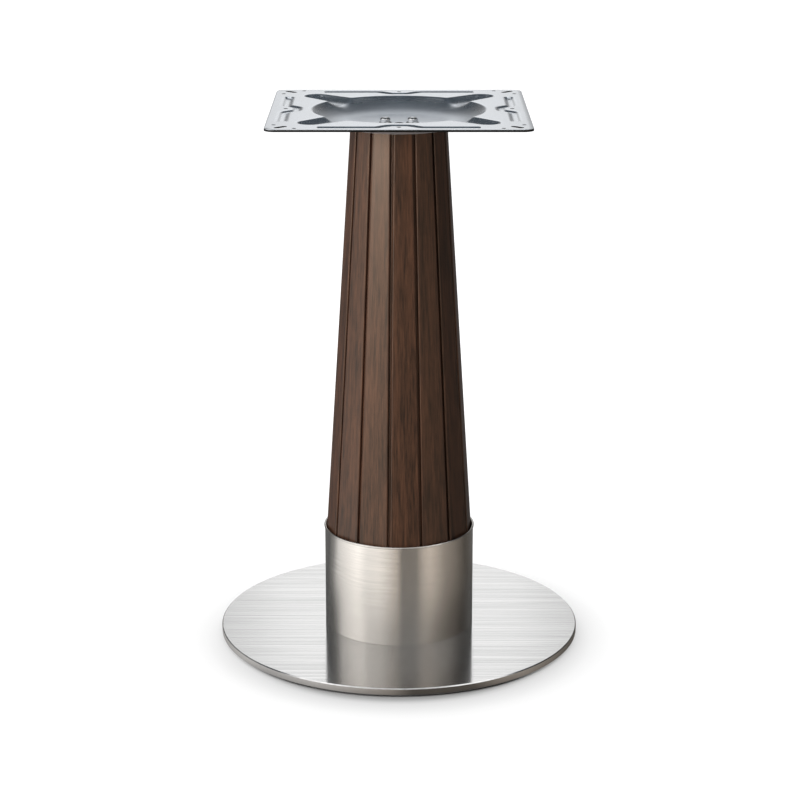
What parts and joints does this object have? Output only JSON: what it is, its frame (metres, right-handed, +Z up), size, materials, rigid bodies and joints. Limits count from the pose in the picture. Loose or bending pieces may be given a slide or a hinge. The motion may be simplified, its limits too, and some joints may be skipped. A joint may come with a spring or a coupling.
{
  "type": "pedestal table base",
  "caption": "Pedestal table base: round steel foot disc, steel collar, tapered column of flat walnut staves and a square pressed top plate.",
  "frame": {"origin": "on the floor, under the centre of the column", "axes": "+Z up to the table top, front towards -Y"},
  "size_m": [0.4949, 0.495, 0.73],
  "materials": {
    "foot_disc_steel": "stainless steel, straight brushed",
    "glide_nylon": "black nylon",
    "screw_steel": "black oxide steel",
    "core_steel": "black painted steel",
    "former_plywood": "raw plywood",
    "stave_walnut": "dark walnut, satin lacquer",
    "collar_steel": "stainless steel, brushed round the collar",
    "plate_galvanised": "bright galvanised sheet",
    "bolt_chrome": "bright plated"
  },
  "bodies": {
    "root": {"base_disc": "foot_disc_steel", "base_glide_1": "glide_nylon", "base_glide_2": "glide_nylon", "base_glide_3": "glide_nylon", "base_glide_4": "glide_nylon", "base_glide_5": "glide_nylon", "base_glide_6": "glide_nylon", "base_screw_1": "screw_steel", "base_screw_2": "screw_steel", "base_screw_3": "screw_steel", "base_screw_4": "screw_steel", "core_foot_flange": "core_steel", "core_tube": "core_steel", "core_head_flange": "core_steel", "former_lower": "former_plywood", "former_middle": "former_plywood", "former_upper": "former_plywood", "stave_01": "stave_walnut", "stave_02": "stave_walnut", "stave_03": "stave_walnut", "stave_04": "stave_walnut", "stave_05": "stave_walnut", "stave_06": "stave_walnut", "stave_07": "stave_walnut", "stave_08": "stave_walnut", "stave_09": "stave_walnut", "stave_10": "stave_walnut", "stave_11": "stave_walnut", "stave_12": "stave_walnut", "stave_13": "stave_walnut", "stave_14": "stave_walnut", "collar": "collar_steel", "top_plate": "plate_galvanised", "top_bolt_1": "bolt_chrome", "top_bolt_2": "bolt_chrome"}
  },
  "joints": []
}
